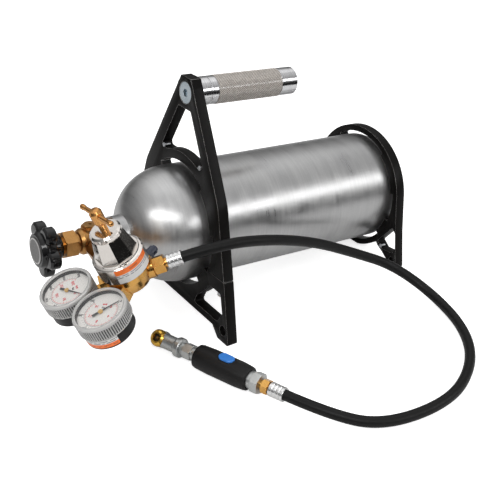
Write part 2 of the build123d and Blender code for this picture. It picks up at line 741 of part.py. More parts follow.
def chuck_body():
    """Plated die-cast body: hex shank, waist and a round head for the foot."""
    b = spun((0, 128.55), (7.2, 128.55), (7.2, 132), (10.4, 133), (11, 134), (11, 138.5), (10, 140.5),
             (8.4, 142), (8.4, 158), (0, 158))
    b -= rod(5.02, 126, 136.5)
    b -= rod(2.0, 136, 160)
    f = chuck_frame()
    head = put(f, spun((0, -8.8), (7.4, -8.8), (9.4, -6.8), (9.4, 2.0), (0, 2.0)))
    clear = put(f, rod(9.9, 2.0, 30))
    bore = put(f, rod(5.6, -5.5, 3))
    return put(LINE, b) - clear + head - bore


def chuck_foot():
    """Brass ball foot with a coned mouth."""
    b = spun((0, -5.4), (5.55, -5.4), (5.55, 2.05), (8.6, 2.05), (9.7, 4.4), (9.6, 6.6), (8.2, 9.0), (6.0, 10.3),
             (0, 10.3))
    b -= spun((0, 11), (4.9, 11), (4.1, 8.5), (4.1, -6), (0, -6))
    return put(chuck_frame(), b)


def chuck_seal():
    b = tube(4.08, 2.3, 4.0, 6.5)
    return put(chuck_frame(), b)


def chuck_poppet():
    """Spring-loaded pin that a tyre valve pushes back."""
    b = rod(1.5, -1, 7.8) + rod(3.4, 2.1, 3.95)
    return put(chuck_frame(), b)


def chuck_spring():
    return put(chuck_frame(), coil(2.8, 0.3, -5.45, 2.05, 4))


# ---------------------------------------------------------------- write the pieces
def main():
    save("cylinder_shell", cylinder_shell())
    save("front_upper_bracket", front_bracket(True))
    save("front_lower_bracket", front_bracket(False))
    save("clamp_screws", *pair(clamp_screw))
    save("clamp_dowels", *pair(dowel))
    save("rear_bracket", rear_bracket())
    save("face_screws", *[face_screw(f, s * y, z) for f, y, z in ((FRONT, 38, 80), (REAR, 64, -59))
                          for s in (1, -1)])
    save("handle", handle())
    save("handle_screw", handle_screw())
    for maker in (valve_body, neck_o_ring, burst_disc_plug, valve_bonnet, packing_gland, valve_spindle,
                  valve_plug, handwheel, handwheel_cap, outlet_washer, inlet_nut, inlet_nipple,
                  regulator_body, seat_cap, poppet, poppet_spring, diaphragm, diaphragm_plate,
                  adjusting_spring, regulator_bonnet, spring_button, adjusting_screw, t_bar, relief_valve,
                  outlet_fitting, hose, hose_end_fitting, adapter, coupler_body, coupler_button,
                  plug_nipple, chuck_body, chuck_foot, chuck_seal, chuck_poppet, chuck_spring):
        save(maker.__name__, maker())
    save("ferrule_1", ferrule(OUT, 41.6, 57.5))
    save("ferrule_2", ferrule(LINE, 1.0, 18.4))
    for side_name in GAUGES:
        f = gauge_frame(side_name)
        for name, shape in (("case", gauge_case()), ("stem", gauge_stem()), ("movement", gauge_movement()),
                            ("dial", gauge_dial()), ("pointer", gauge_pointer(ZERO)), ("lens", gauge_lens())):
            save(f"{side_name}_gauge_{name}", put(f, shape))


main()
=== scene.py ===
"""Air receiver tank kit: finishes, fine detail, floor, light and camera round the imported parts."""
from math import atan2, cos, degrees, hypot, pi, radians, sin

import bmesh
import bpy
from mathutils import Matrix, Vector


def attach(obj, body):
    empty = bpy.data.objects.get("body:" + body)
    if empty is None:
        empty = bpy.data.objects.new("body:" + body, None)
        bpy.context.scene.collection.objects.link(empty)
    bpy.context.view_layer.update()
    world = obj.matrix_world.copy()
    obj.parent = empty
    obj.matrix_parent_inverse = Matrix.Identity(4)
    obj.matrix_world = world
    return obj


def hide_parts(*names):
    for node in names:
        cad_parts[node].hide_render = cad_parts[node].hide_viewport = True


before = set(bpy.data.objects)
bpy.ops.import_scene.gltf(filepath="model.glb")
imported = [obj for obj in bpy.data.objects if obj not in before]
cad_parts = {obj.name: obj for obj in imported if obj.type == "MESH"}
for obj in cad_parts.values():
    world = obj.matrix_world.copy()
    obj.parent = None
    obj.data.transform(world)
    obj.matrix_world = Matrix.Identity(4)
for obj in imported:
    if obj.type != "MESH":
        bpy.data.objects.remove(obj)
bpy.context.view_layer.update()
MM = 0.001
ROUND = 360


# ------------------------------------------------------------------ places on the object
def place(origin, x, z):
    """Matrix of a local frame, from its origin in mm and two of its axes."""
    z = Vector(z).normalized()
    x = Vector(x)
    x = (x - z * x.dot(z)).normalized()
    y = z.cross(x)
    m = Matrix((x, y, z)).transposed().to_4x4()
    m.translation = Vector(origin) * MM
    return m


TANK = place((0, 0, 101.8), (0, 1, 0), (0.995884, 0, -0.090633))
VALVE = place((-83.6543, 0, 109.413), (0, -1, 0), (-0.995884, 0, 0.090633))
REG = place((-108.053, -87, 111.634), (0.931691, 0, 0.363251), (-0.363251, 0, 0.931691))
GAUGE = {"left": place((-162.651, -67, 90.3471), (0.881751, -0.323003, 0.34378), (-0.363251, 0, 0.931691)),
         "right": place((-153.706, -124.6, 93.8343), (0.739153, 0.608771, 0.288184), (-0.363251, 0, 0.931691))}
HANDLE = TANK @ Matrix.Translation((0, 0.1522, 0))


# ------------------------------------------------------------------ shader writing
class Value:
    """A shader number; arithmetic on it adds Math nodes."""

    def __init__(self, finish, socket):
        self.finish, self.socket = finish, socket

    def act(self, operation, *others):
        n = self.finish.node("ShaderNodeMath", {"operation": operation}, dict(enumerate(others)))
        return Value(self.finish, n.outputs[0])

    def __add__(self, o): return self.act("ADD", self, o)
    def __sub__(self, o): return self.act("SUBTRACT", self, o)
    def __rsub__(self, o): return self.act("SUBTRACT", o, self)
    def __mul__(self, o): return self.act("MULTIPLY", self, o)
    def __truediv__(self, o): return self.act("DIVIDE", self, o)
    def __rtruediv__(self, o): return self.act("DIVIDE", o, self)
    def __pow__(self, o): return self.act("POWER", self, o)
    def __gt__(self, o): return self.act("GREATER_THAN", self, o)
    def __lt__(self, o): return self.act("LESS_THAN", self, o)
    def __abs__(self): return self.act("ABSOLUTE", self)
    def fract(self): return self.act("FRACT", self)
    def floor(self): return self.act("FLOOR", self)
    __radd__ = __add__
    __rmul__ = __mul__


class Finish:
    """One material: a Principled shader and the nodes that vary its colour, roughness and surface."""

    def __init__(self, name, **sockets):
        self.mat = bpy.data.materials.new(name)
        self.mat.use_nodes = True
        self.tree = self.mat.node_tree
        self.shader = self.tree.nodes["Principled BSDF"]
        for key, v in sockets.items():
            s = self.shader.inputs[key.replace("_", " ")]
            s.default_value = (*v, 1.0) if isinstance(v, tuple) and len(v) == 3 and s.type == "RGBA" else v

    def node(self, kind, settings, inputs):
        n = self.tree.nodes.new(kind)
        for key, v in settings.items():
            if key == "stops":
                ramp = n.color_ramp.elements
                while len(ramp) < len(v):
                    ramp.new(0.5)
                for e, (at, colour) in zip(ramp, v):
                    e.position, e.color = at, (*colour, 1.0)
            else:
                setattr(n, key, v)
        for key, v in inputs.items():
            if isinstance(v, Value):
                v = v.socket
            if isinstance(v, bpy.types.NodeSocket):
                self.tree.links.new(v, n.inputs[key])
            else:
                n.inputs[key].default_value = v
        return n

    def at(self, where=None):
        """Object position, in metres, or in a local frame of the object."""
        p = self.node("ShaderNodeTexCoord", {}, {}).outputs["Object"]
        if where is None:
            return p
        inv = where.inverted()
        return self.node("ShaderNodeMapping", {}, {"Vector": p, "Location": inv.to_translation(),
                                                   "Rotation": inv.to_euler()}).outputs[0]

    def axes(self, point):
        n = self.node("ShaderNodeSeparateXYZ", {}, {0: point})
        return [Value(self, s) for s in n.outputs]

    def stretch(self, point, by):
        return self.node("ShaderNodeVectorMath", {"operation": "MULTIPLY"}, {0: point, 1: by}).outputs[0]

    def noise(self, point, scale, detail=2.0, rough=0.5):
        n = self.node("ShaderNodeTexNoise", {}, {"Vector": point, "Scale": scale, "Detail": detail,
                                                 "Roughness": rough})
        return Value(self, n.outputs["Fac"])

    def mix(self, a, b, factor):
        wrap = lambda c: (*c, 1.0) if isinstance(c, tuple) else c
        n = self.node("ShaderNodeMix", {"data_type": "RGBA"}, {0: factor, 6: wrap(a), 7: wrap(b)})
        return n.outputs[2]

    def ramp(self, value, *stops):
        return self.node("ShaderNodeValToRGB", {"stops": stops}, {0: value}).outputs[0]

    def clamp(self, value, lo, hi, out_lo=0.0, out_hi=1.0):
        n = self.node("ShaderNodeMapRange", {}, {0: value, 1: lo, 2: hi, 3: out_lo, 4: out_hi})
        return Value(self, n.outputs[0])

    def colour(self, c): return self.feed("Base Color", c)
    def rough(self, v): return self.feed("Roughness", v)

    def feed(self, socket, v):
        self.tree.links.new(v.socket if isinstance(v, Value) else v, self.shader.inputs[socket])
        return self

    def relief(self, height, depth, strength=1.0, soften=None):
        """Raised and sunken detail, depth in metres; soften rounds sharp edges by that radius."""
        inputs = {"Height": height, "Distance": depth, "Strength": strength}
        if soften:
            inputs["Normal"] = self.node("ShaderNodeBevel", {"samples": 4}, {"Radius": soften}).outputs[0]
        return self.feed("Normal", self.node("ShaderNodeBump", {}, inputs).outputs[0])


# ------------------------------------------------------------------ finishes
def bare_aluminium():
    f = Finish("bare_aluminium", Metallic=1.0)
    p = f.at(TANK)
    rings = f.noise(f.stretch(p, (14, 14, 420)), 1.0, 4, 0.6)
    cloud = f.noise(f.stretch(p, (26, 26, 60)), 1.0, 4)
    grain = f.noise(p, 900, 2)
    tone = 0.45 * cloud + 0.38 * rings + 0.17 * grain
    f.colour(f.ramp(tone, (0.30, (0.40, 0.40, 0.405)), (0.50, (0.48, 0.48, 0.48)), (0.68, (0.57, 0.57, 0.565))))
    f.rough(f.clamp(0.6 * cloud + 0.4 * rings, 0.3, 0.7, 0.26, 0.42))
    return f.relief(0.6 * rings + 0.4 * grain, 0.00006)


def black_plate():
    f = Finish("black_anodised_plate", Specular_IOR_Level=0.10)
    p = f.at()
    grain = f.noise(p, 700, 2)
    cloud = f.noise(p, 30, 3)
    f.colour(f.mix((0.002875, 0.0025, 0.0023), (0.00575, 0.005, 0.0046), cloud))
    f.rough(f.clamp(grain, 0.3, 0.7, 0.31, 0.44))
    return f.relief(grain, 0.00004)


def plate_edge():
    # Painted highlight: the bevelled plate edges get a lighter base colour standing in for light caught by the
    # rounded edge; the same noise varies roughness and bumps.
    f = Finish("highlighted_plate_edge", Metallic=0.6)
    painted_highlight_noise = f.noise(f.at(), 260, 3)
    f.colour(f.ramp(painted_highlight_noise, (0.32, (0.16, 0.155, 0.15)), (0.58, (0.50, 0.49, 0.48))))
    f.rough(f.clamp(painted_highlight_noise, 0.3, 0.7, 0.36, 0.22))
    return f.relief(painted_highlight_noise, 0.00003)


def turned_metal(name, low, high, rough, depth=0.00003):
    """Machined or plated metal: cloudy tone, fine grain and eased edges."""
    f = Finish(name, Metallic=1.0)
    p = f.at()
    cloud = f.noise(p, 60, 3)
    fine = f.noise(p, 700, 2)
    f.colour(f.ramp(0.65 * cloud + 0.35 * fine, (0.3, low), (0.7, high)))
    f.rough(f.clamp(0.5 * cloud + 0.5 * fine, 0.3, 0.7, rough - 0.04, rough + 0.06))
    return f.relief(fine, depth, soften=0.0004)


def handle_metal():
    f = Finish("polished_handle", Metallic=1.0)
    p = f.at(HANDLE)
    rings = f.noise(f.stretch(p, (20, 20, 2500)), 1.0, 2)
    f.colour(f.ramp(rings, (0.3, (0.56, 0.56, 0.57)), (0.7, (0.74, 0.74, 0.75))))
    f.rough(f.clamp(rings, 0.3, 0.7, 0.10, 0.18))
    return f.relief(rings, 0.00004, soften=0.0004)


def knurl_metal():
    f = Finish("knurled_grip", Metallic=0.75)
    p = f.at(HANDLE)
    x, y, z = f.axes(p)
    high = f.clamp((x * x + y * y) ** 0.5, 0.01562, 0.01600)
    dust = f.noise(p, 300, 3)
    # Painted highlight on the knurl peaks and painted shade in the valleys between them, with random dust tone mixed
    # in.
    f.colour(f.mix((0.24, 0.215, 0.19), (0.99, 0.93, 0.87), f.clamp(0.8 * high + 0.3 * dust, 0.2, 0.85)))
    f.rough(f.clamp(high, 0, 1, 0.55, 0.36))
    return f.relief(dust, 0.00004)


def gloss_moulding(name, colour, rough, coat=0.0, grain=0.00002, shine=0.5):
    f = Finish(name, Coat_Weight=coat, Coat_Roughness=0.05, Specular_IOR_Level=shine)
    p = f.at()
    n = f.noise(p, 500, 2)
    f.colour(f.mix(tuple(c * 0.85 for c in colour), tuple(min(1, c * 1.15) for c in colour), f.noise(p, 40, 2)))
    f.rough(f.clamp(n, 0.3, 0.7, rough - 0.03, rough + 0.05))
    return f.relief(n, grain, soften=0.0006)


def hose_skin():
    f = Finish("hose_rubber", Specular_IOR_Level=0.22)
    p = f.at()
    n = f.noise(p, 420, 3)
    f.colour(f.mix((0.002, 0.002, 0.002), (0.005, 0.005, 0.005), f.noise(p, 25, 3)))
    f.rough(f.clamp(n, 0.3, 0.7, 0.38, 0.52))
    return f.relief(n, 0.00005)


def cap_disc():
    f = Finish("wheel_cap", Metallic=0.5)
    x, y, z = f.axes(f.at(VALVE))
    r = (x * x + y * y) ** 0.5
    rim = (r > 0.0126) * (r < 0.0141)
    n = f.noise(f.at(), 500, 3)
    f.colour(f.mix(f.mix((0.10, 0.098, 0.096), (0.17, 0.165, 0.16), n), (0.55, 0.54, 0.53), rim))
    f.rough(f.clamp(n + rim * 0.2, 0.3, 0.9, 0.42, 0.28))
    return f.relief(rim * 1.0 + n * 0.05, 0.0003)


def pointer_paint(side):
    f = Finish(side + "_pointer")
    x, y, z = f.axes(f.at(GAUGE[side]))
    hub = ((x * x + y * y) ** 0.5) < 0.0025
    n = f.noise(f.at(), 600, 2)
    f.colour(f.mix(f.mix((0.012, 0.012, 0.012), (0.03, 0.03, 0.03), n), (0.75, 0.48, 0.16), hub))
    f.feed("Metallic", hub)
    f.rough(f.clamp(n, 0.3, 0.7, 0.3, 0.42))
    return f


def dial_paint():
    f = Finish("dial_enamel")
    n = f.noise(f.at(), 350, 3)
    f.colour(f.mix((0.72, 0.70, 0.67), (0.76, 0.74, 0.71), n))
    f.rough(f.clamp(n, 0.3, 0.7, 0.42, 0.55))
    return f.relief(n, 0.00001)


def ink(name, colour):
    f = Finish(name)
    n = f.noise(f.at(), 900, 2)
    f.colour(f.mix(tuple(c * 0.8 for c in colour), tuple(min(1, c * 1.2) for c in colour), n))
    f.rough(f.clamp(n, 0.3, 0.7, 0.45, 0.6))
    return f


def clear_rim(side):
    """Clear moulding seen through its ribs: partly milky, partly see-through, with painted shade in the grooves
    between the ribs.
    """
    f = Finish(side + "_clear_rim", Roughness=0.14, IOR=1.49, Transmission_Weight=0.6)
    n = f.noise(f.at(), 500, 2)
    x, y, z = f.axes(f.at(GAUGE[side]))
    high = f.clamp((x * x + y * y) ** 0.5, 0.02742, 0.02795)
    ribbed = (z > 0.0031) * (z < 0.0149)
    groove = ribbed * (1 - high)
    # Painted shade: the grooves between the ribs are coloured near black.
    f.colour(f.mix(f.mix((0.90, 0.89, 0.87), (0.98, 0.97, 0.96), n), (0.03, 0.03, 0.03), groove * 0.95))
    return f.relief(n, 0.00003)


def clear_face():
    """Flat window: mostly see-through, with a glassy reflection."""
    f = Finish("clear_face", Roughness=0.03, Specular_IOR_Level=0.7)
    n = f.noise(f.at(), 60, 2)
    f.colour(f.mix((0.90, 0.90, 0.90), (0.97, 0.97, 0.97), n))
    sight = f.node("ShaderNodeBsdfTransparent", {}, {"Color": (1, 1, 1, 1)})
    glance = Value(f, f.node("ShaderNodeLayerWeight", {}, {"Blend": 0.5}).outputs["Facing"])
    film = f.node("ShaderNodeMixShader", {}, {0: 0.03 + 0.5 * glance ** 4, 1: sight.outputs[0],
                                             2: f.shader.outputs[0]})
    f.tree.links.new(film.outputs[0], f.tree.nodes["Material Output"].inputs["Surface"])
    return f


def printed_label(name, where, z_lo, z_hi, stripe_low, stripe_share, lines):
    """White paper with an orange band along one edge and rows of plain grey dashes."""
    f = Finish(name, Coat_Weight=0.25, Coat_Roughness=0.2)
    x, y, z = f.axes(f.at(where))
    up = f.clamp(z, z_lo * MM, z_hi * MM)
    angle = f.node("ShaderNodeMath", {"operation": "ARCTAN2"}, {0: y, 1: x}).outputs[0]
    around = Value(f, angle)
    band = up < stripe_share if stripe_low else up > (1 - stripe_share)
    body = (1 - up) / (1 - stripe_share) if not stripe_low else (up - stripe_share) / (1 - stripe_share)
    row = body * lines
    on_row = abs(row.fract() - 0.5) < 0.2
    cells = f.node("ShaderNodeCombineXYZ", {}, {0: around * 3.0, 1: row.floor() * 7.3, 2: 0.0}).outputs[0]
    words = f.noise(cells, 2.2, 1) > 0.44
    margin = (body > 0.06) * (body < 0.95)
    text = on_row * words * margin
    paper = f.mix((0.64, 0.635, 0.625), (0.74, 0.735, 0.725), f.noise(f.at(), 300, 2))
    paper = f.mix(paper, (0.08, 0.08, 0.09), text * 0.9)
    orange = f.mix((0.86, 0.15, 0.012), (0.94, 0.19, 0.02), f.noise(f.at(), 250, 2))
    mark = (abs(up - (stripe_share / 2 if stripe_low else 1 - stripe_share / 2)) < stripe_share * 0.2) \
        * (f.noise(cells, 1.3, 1) > 0.52)
    orange = f.mix(orange, (0.25, 0.05, 0.02), mark * 0.6)
    f.colour(f.mix(paper, orange, band))
    return f.rough(f.clamp(up, 0, 1, 0.34, 0.4))


SHELL = bare_aluminium()
PLATE = black_plate()
EDGE = plate_edge()
GRIP = handle_metal()
KNURL = knurl_metal()
BRASS = turned_metal("regulator_brass", (0.55, 0.28, 0.07), (0.80, 0.45, 0.13), 0.20)
BODY_BRASS = turned_metal("valve_brass", (0.33, 0.165, 0.055), (0.54, 0.29, 0.10), 0.32, depth=0.00006)
BAR_BRASS = turned_metal("bar_brass", (0.55, 0.25, 0.08), (0.80, 0.42, 0.14), 0.22)
BALL_BRASS = turned_metal("ball_brass", (0.60, 0.34, 0.05), (0.85, 0.52, 0.10), 0.18)
NICKEL = turned_metal("polished_nickel", (0.66, 0.62, 0.58), (0.82, 0.78, 0.74), 0.07, depth=0.00001)
ZINC = turned_metal("zinc_plate", (0.42, 0.43, 0.45), (0.66, 0.67, 0.69), 0.30)
BLUE_ZINC = turned_metal("blue_zinc", (0.36, 0.42, 0.46), (0.58, 0.64, 0.68), 0.28)
CAST = turned_metal("cast_zinc", (0.40, 0.41, 0.41), (0.60, 0.61, 0.60), 0.36, depth=0.00012)
FERRULE = turned_metal("crimped_steel", (0.66, 0.66, 0.66), (0.86, 0.86, 0.86), 0.24)
SPRING = turned_metal("spring_wire", (0.30, 0.30, 0.32), (0.45, 0.45, 0.47), 0.3)
WHEEL = gloss_moulding("wheel_moulding", (0.004, 0.004, 0.0045), 0.12, coat=0.2, grain=0.00001, shine=0.35)
CASE = gloss_moulding("gauge_case_enamel", (0.006, 0.006, 0.0065), 0.34, shine=0.3)
CAP = cap_disc()
NAVY = gloss_moulding("relief_cap_enamel", (0.02, 0.026, 0.05), 0.3, coat=0.2)
COUPLER = gloss_moulding("coupler_moulding", (0.007, 0.0065, 0.0065), 0.46, grain=0.00006, shine=0.25)
BLUE = gloss_moulding("button_moulding", (0.035, 0.21, 0.66), 0.32)
SEAL = gloss_moulding("seal_rubber", (0.02, 0.02, 0.02), 0.6)
HOSE_SKIN = hose_skin()
DIAL = dial_paint()
RED, BLACK = ink("red_ink", (0.62, 0.03, 0.04)), ink("black_ink", (0.03, 0.03, 0.035))
CLEAR_RIM, CLEAR_FACE = {side: clear_rim(side) for side in GAUGE}, clear_face()


# ------------------------------------------------------------------ modelling
def clear_hands():
    """Object mode with nothing selected."""
    if bpy.context.object and bpy.context.object.mode != "OBJECT":
        bpy.ops.object.mode_set(mode="OBJECT")
    bpy.ops.object.select_all(action="DESELECT")


def brought_in(name, data):
    """A new object for that data, in the scene."""
    o = bpy.data.objects.new(name, data)
    bpy.context.scene.collection.objects.link(o)
    return o


def edit(pick="VERT"):
    """Edit mode, picking vertices, edges or faces."""
    bpy.ops.object.mode_set(mode="EDIT")
    bpy.ops.mesh.select_mode(type=pick)


def choose(test, kind="faces"):
    """Selects the faces, edges or vertices in edit mode that the test accepts, and nothing else."""
    o = bpy.context.object
    b = bmesh.from_edit_mesh(o.data)
    b.normal_update()
    for group in (b.faces, b.edges, b.verts):
        for e in group:
            e.select = False
    for e in getattr(b, kind):
        if test(e):
            e.select_set(True)
    b.select_flush_mode()
    bmesh.update_edit_mesh(o.data)


def cut_to_sector(a0, a1, unwanted=lambda face: False):
    """Takes away the faces outside the angles a0 to a1, in degrees, and any that are unwanted."""
    edit("FACE")

    def outside(f):
        c = f.calc_center_median()
        d = degrees(atan2(c.y, c.x))
        d = d + ROUND if d < a0 else d
        return d > a1 or unwanted(f)
    choose(outside, "faces")
    bpy.ops.mesh.delete(type="FACE")
    bpy.ops.object.mode_set(mode="OBJECT")
    return bpy.context.object


def place_in(o, where):
    """Puts a finished shape at its place in the mesh and leaves the object at the origin."""
    o.data.transform(where @ o.matrix_basis)
    o.matrix_basis = Matrix.Identity(4)
    o.data.update()


def dress(o, name, body, slot, *finishes, replaces=()):
    """Names a piece, gives it its finishes and says which body it rides on."""
    o.name = name
    o.data.name = name
    o.data.materials.clear()
    for f in finishes:
        o.data.materials.append(f.mat)
    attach(o, body)
    if replaces:
        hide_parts(*replaces)
    return o


def lathe(profile, sides=96, closed=False):
    """Turns a profile of (radius, height) points in mm: a ring is extruded and drawn in or out, step by step."""
    clear_hands()
    r0, z0 = profile[0]
    bpy.ops.mesh.primitive_circle_add(vertices=sides, radius=r0 * MM, fill_type="NOTHING" if closed else "NGON",
                                      location=(0, 0, z0 * MM))
    bpy.ops.object.transform_apply(location=True, rotation=True, scale=True)
    edit("EDGE")
    bpy.ops.mesh.select_all(action="SELECT")
    if not closed:
        choose(lambda e: len(e.link_faces) == 1, "edges")
    for (ra, za), (rb, zb) in zip(profile, profile[1:]):
        bpy.ops.mesh.extrude_region_move(TRANSFORM_OT_translate={"value": (0, 0, (zb - za) * MM)})
        bpy.ops.transform.resize(value=(rb / ra, rb / ra, 1), center_override=(0, 0, zb * MM))
    if closed:
        choose(lambda e: len(e.link_faces) == 1, "edges")
        bpy.ops.mesh.bridge_edge_loops()
    else:
        bpy.ops.mesh.edge_face_add()
    bpy.ops.mesh.select_all(action="SELECT")
    bpy.ops.mesh.normals_make_consistent(inside=False)
    bpy.ops.object.mode_set(mode="OBJECT")
    return bpy.context.object


def ease(o, width, segments=2, angle=32, material=-1, smooth=32):
    """Bevels the sharp edges and applies it, then smooths the rest."""
    if width:
        m = o.modifiers.new("eased", "BEVEL")
        m.width, m.segments, m.limit_method, m.angle_limit = width * MM, segments, "ANGLE", radians(angle)
        m.use_clamp_overlap = True
        m.material = material
        bpy.context.view_layer.objects.active = o
        bpy.ops.object.modifier_apply(modifier=m.name)
    clear_hands()
    o.select_set(True)
    bpy.context.view_layer.objects.active = o
    bpy.ops.object.shade_smooth_by_angle(angle=radians(smooth))
    return o


def taken_over(node, name):
    """A merged, cleaned copy of a CAD piece's mesh."""
    clear_hands()
    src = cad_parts[node]
    o = brought_in(name, src.data.copy())
    o.select_set(True)
    bpy.context.view_layer.objects.active = o
    edit("VERT")
    bpy.ops.mesh.select_all(action="SELECT")
    bpy.ops.mesh.remove_doubles(threshold=0.000002)
    bpy.ops.mesh.dissolve_limited(angle_limit=radians(0.6), delimit=set())
    bpy.ops.object.mode_set(mode="OBJECT")
    return o


# ------------------------------------------------------------------ camera
eye = bpy.data.cameras.new("camera")
eye.lens, eye.sensor_width = 64.82, 36.0
eye.clip_end = 20
camera = brought_in("camera", eye)
view = Matrix(((0.82498606, -0.56505565, 0.01049397), (0.27590858, 0.41889517, 0.8651019),
               (-0.49322659, -0.71080163, 0.50148637))).transposed().to_4x4()
view.translation = Vector((-0.448841, -0.791731, 0.590469))
camera.matrix_world = view
bpy.context.scene.camera = camera

# ------------------------------------------------------------------ hose
ROUTE = [(-73.519, -105.886, 125.098), (-30.02, -129.675, 142.058), (34, -127.5, 128), (104, -119, 99),
         (166.5, -117.5, 64), (224, -125, 32), (249, -174, 6.2), (228, -244, 6.2), (188, -294, 6.2),
         (124.5, -325.5, 6.2), (42.5, -316.5, 6.2), (0.644, -277.86, 14.0), (-21.424, -217.802, 14.0)]
line = bpy.data.curves.new("hose", "CURVE")
line.dimensions = "3D"
run = line.splines.new("NURBS")
run.points.add(len(ROUTE) - 1)
for point, at in zip(run.points, ROUTE):
    point.co = (*(c * MM for c in at), 1)
run.order_u = 3
run.use_endpoint_u = True
run.resolution_u = 14
line.bevel_depth, line.bevel_resolution, line.use_fill_caps = 0.0058, 6, True
hose = brought_in("hose_run", line)
line.materials.append(HOSE_SKIN.mat)
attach(hose, "frame")
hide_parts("hose")


# ------------------------------------------------------------------ brackets and handle
for node in ("front_upper_bracket", "front_lower_bracket", "rear_bracket"):
    plate = taken_over(node, node + "_eased")
    # The bevel faces take the second finish, whose lighter colour is a painted highlight along the plate edges.
    dress(plate, node + "_eased", "frame", "black_anodised", PLATE, EDGE, replaces=(node,))
    ease(plate, 0.9, 2, 40, material=1)


def knurled_sleeve():
    """Diamond knurl: a fine tube whose every second point is pressed in, cut along the low lines."""
    clear_hands()
    around, along, z0, z1 = 88, 76, 34.2, 118.0
    bpy.ops.mesh.primitive_cylinder_add(vertices=around, radius=0.016, depth=(z1 - z0) * MM,
                                        end_fill_type="NOTHING", location=(0, 0, (z0 + z1) / 2 * MM))
    bpy.ops.object.transform_apply(location=True, rotation=True, scale=True)
    edit("EDGE")
    choose(lambda e: abs(e.verts[0].co.z - e.verts[1].co.z) > 0.01, "edges")
    bpy.ops.mesh.subdivide(number_cuts=along - 1)
    bpy.ops.mesh.select_mode(type="VERT")
    pitch = (z1 - z0) * MM / along
    step = 2 * pi / around

    def low(v):
        i = round(atan2(v.co.y, v.co.x) / step)
        j = round((v.co.z - z0 * MM) / pitch)
        return (i + j) % 2 == 1
    choose(low, "verts")
    bpy.ops.transform.resize(value=(0.974, 0.974, 1), center_override=(0, 0, 0))
    bpy.ops.mesh.select_all(action="SELECT")
    bpy.ops.mesh.quads_convert_to_tris(quad_method="SHORTEST_DIAGONAL")
    choose(lambda e: len(e.link_faces) == 1, "edges")
    bpy.ops.mesh.extrude_region_move(TRANSFORM_OT_translate={"value": (0, 0, 0)})
    bpy.ops.transform.resize(value=(0.965, 0.965, 1), center_override=(0, 0, 0))
    bpy.ops.object.mode_set(mode="OBJECT")
    o = bpy.context.object
    place_in(o, HANDLE)
    return dress(o, "knurled_grip", "frame", "grip_aluminium", KNURL)


knurled_sleeve()


# ------------------------------------------------------------------ gauges
RIB_POINTS = 280
TICKS = 5
SCALE_START, SCALE_SWEEP = -47, 266


def gauge_cover(side):
    """Clear screw-on cover: finely ribbed rim below a smooth ring, open in front for the window."""
    o = lathe([(26.06, 2.0), (27.7, 2.0), (28.1, 2.6), (28.1, 3.4), (28.1, 14.6), (28.15, 15.2), (28.2, 16.2),
               (28.15, 17.4), (27.3, 18.7), (26.6, 19.0), (25.6, 18.95), (24.9, 18.6), (24.9, 17.0), (26.06, 16.4)],
              sides=RIB_POINTS, closed=True)
    bpy.context.view_layer.objects.active = o
    edit("VERT")
    step = 2 * pi / RIB_POINTS

    def groove(v):
        i = round(atan2(v.co.y, v.co.x) / step)
        return i % 4 in (0, 1) and hypot(v.co.x, v.co.y) > 0.0279 and 0.0030 < v.co.z < 0.0150
    choose(groove, "verts")
    bpy.ops.transform.resize(value=(0.976, 0.976, 1), center_override=(0, 0, 0))
    bpy.ops.object.mode_set(mode="OBJECT")
    place_in(o, GAUGE[side])
    dress(o, side + "_gauge_cover", "frame", "clear", CLEAR_RIM[side], replaces=(side + "_gauge_lens",))
    ease(o, 0)
    w = lathe([(24.7, 17.2), (24.85, 17.35), (24.85, 18.3), (24.7, 18.45)])
    place_in(w, GAUGE[side])
    dress(w, side + "_gauge_window", "frame", "clear", CLEAR_FACE)
    ease(w, 0)
    ring = lathe([(24.5, 12.85), (25.7, 12.85), (25.7, 16.2), (25.5, 16.4), (24.7, 16.4), (24.5, 16.2)],
                 closed=True)
    place_in(ring, GAUGE[side])
    dress(ring, side + "_gauge_inner_ring", "frame", "gauge_black", CASE)
    ease(ring, 0.15)


def words(text, size, r, deg):
    """A numeral as flat mesh at radius r and angle deg on a dial, its foot towards the stem."""
    clear_hands()
    bpy.ops.object.text_add(location=(0, 0, 0))
    o = bpy.context.object
    o.data.body, o.data.size, o.data.resolution_u, o.data.offset = text, size * MM, 3, 0.00014
    o.data.align_x, o.data.align_y = "CENTER", "CENTER"
    bpy.ops.object.convert(target="MESH")
    o = bpy.context.object
    a = radians(deg)
    o.data.transform(Matrix.Translation((r * MM * cos(a), r * MM * sin(a), 0)) @ Matrix.Rotation(radians(90), 4, "Z"))
    o.matrix_basis = Matrix.Identity(4)
    return o


def tick(r0, r1, wide, deg):
    """A flat mark from radius r0 out to r1, narrowed at its inner end."""
    clear_hands()
    bpy.ops.mesh.primitive_plane_add(size=1, location=((r0 + r1) / 2 * MM, 0, 0), scale=(1, 1, 1))
    o = bpy.context.object
    o.scale = ((r1 - r0) * MM, wide * MM, 1)
    bpy.ops.object.transform_apply(location=True, rotation=True, scale=True)
    edit("EDGE")
    choose(lambda e: abs(e.verts[0].co.x - e.verts[1].co.x) < 1e-6 and e.verts[0].co.x < (r0 + r1) / 2 * MM, "edges")
    bpy.ops.transform.resize(value=(1, 0.6, 1), center_override=(r0 * MM, 0, 0))
    bpy.ops.object.mode_set(mode="OBJECT")
    o.data.transform(Matrix.Rotation(radians(deg), 4, "Z"))
    return o


def joined(parts):
    """Makes one mesh of several shapes."""
    clear_hands()
    for p in parts:
        p.select_set(True)
    bpy.context.view_layer.objects.active = parts[0]
    bpy.ops.object.join()
    return bpy.context.object


def arc(r, wide, a0, a1):
    """A thin printed arc: a ring of faces with the part outside the angles removed."""
    lathe([(r - wide / 2, 0), (r + wide / 2, 0.0001)], sides=144)
    return cut_to_sector(a0, a1, unwanted=lambda face: len(face.verts) > 4)


